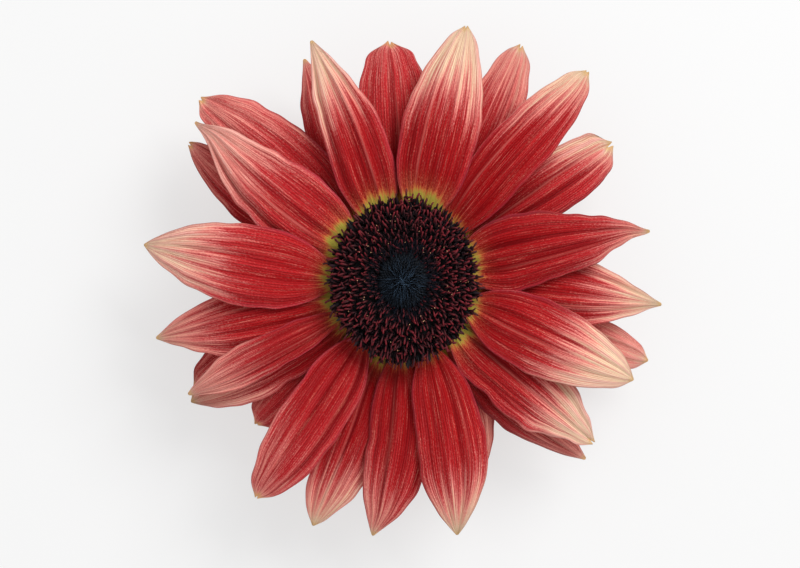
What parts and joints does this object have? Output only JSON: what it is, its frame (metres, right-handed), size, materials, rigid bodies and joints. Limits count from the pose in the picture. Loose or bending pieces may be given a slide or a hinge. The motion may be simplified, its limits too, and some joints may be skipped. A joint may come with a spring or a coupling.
{
  "type": "cut sunflower head",
  "caption": "Cut sunflower head with red and cream rays, a dark disc, green bracts and a short stem stub, lying face up.",
  "frame": {"origin": "on the surface the head lies on, under the axis of the disc, at the middle of the outline to within half a millimetre", "axes": "+Z out of the face of the flower, away from the surface it lies on; X and Y run across the rays"},
  "size_m": [0.1405, 0.1387, 0.0357],
  "materials": {
    "ray_floret": "velvety, red towards the foot and cream towards the tip",
    "open_floret": "matte, near black with dark crimson tips",
    "closed_floret": "matte blue-black with fine pale hairs",
    "bract": "matte green leaf with fine hairs",
    "receptacle": "soft green plant tissue",
    "stem": "ribbed green stem with pale pith at the cut"
  },
  "bodies": {
    "root": {"cut_stem": "stem", "receptacle": "receptacle", "open_disc_florets": "open_floret", "unopened_disc_florets": "closed_floret", "outer_bract_01": "bract", "outer_bract_02": "bract", "outer_bract_03": "bract", "outer_bract_04": "bract", "outer_bract_05": "bract", "outer_bract_06": "bract", "outer_bract_07": "bract", "outer_bract_08": "bract", "outer_bract_09": "bract", "outer_bract_10": "bract", "inner_bract_01": "bract", "inner_bract_02": "bract", "inner_bract_03": "bract", "inner_bract_04": "bract", "inner_bract_05": "bract", "inner_bract_06": "bract", "inner_bract_07": "bract", "inner_bract_08": "bract", "inner_bract_09": "bract", "inner_bract_10": "bract", "inner_bract_11": "bract", "inner_bract_12": "bract", "inner_bract_13": "bract", "inner_bract_14": "bract", "ray_floret_01": "ray_floret", "ray_floret_02": "ray_floret", "ray_floret_03": "ray_floret", "ray_floret_04": "ray_floret", "ray_floret_05": "ray_floret", "ray_floret_06": "ray_floret", "ray_floret_07": "ray_floret", "ray_floret_08": "ray_floret", "ray_floret_09": "ray_floret", "ray_floret_10": "ray_floret", "ray_floret_11": "ray_floret", "ray_floret_12": "ray_floret", "ray_floret_13": "ray_floret", "ray_floret_14": "ray_floret", "ray_floret_15": "ray_floret", "ray_floret_16": "ray_floret", "ray_floret_17": "ray_floret", "ray_floret_18": "ray_floret", "ray_floret_19": "ray_floret", "ray_floret_20": "ray_floret", "ray_floret_21": "ray_floret", "ray_floret_22": "ray_floret", "ray_floret_23": "ray_floret", "ray_floret_24": "ray_floret", "ray_floret_25": "ray_floret", "ray_floret_26": "ray_floret", "ray_floret_27": "ray_floret"}
  },
  "joints": []
}
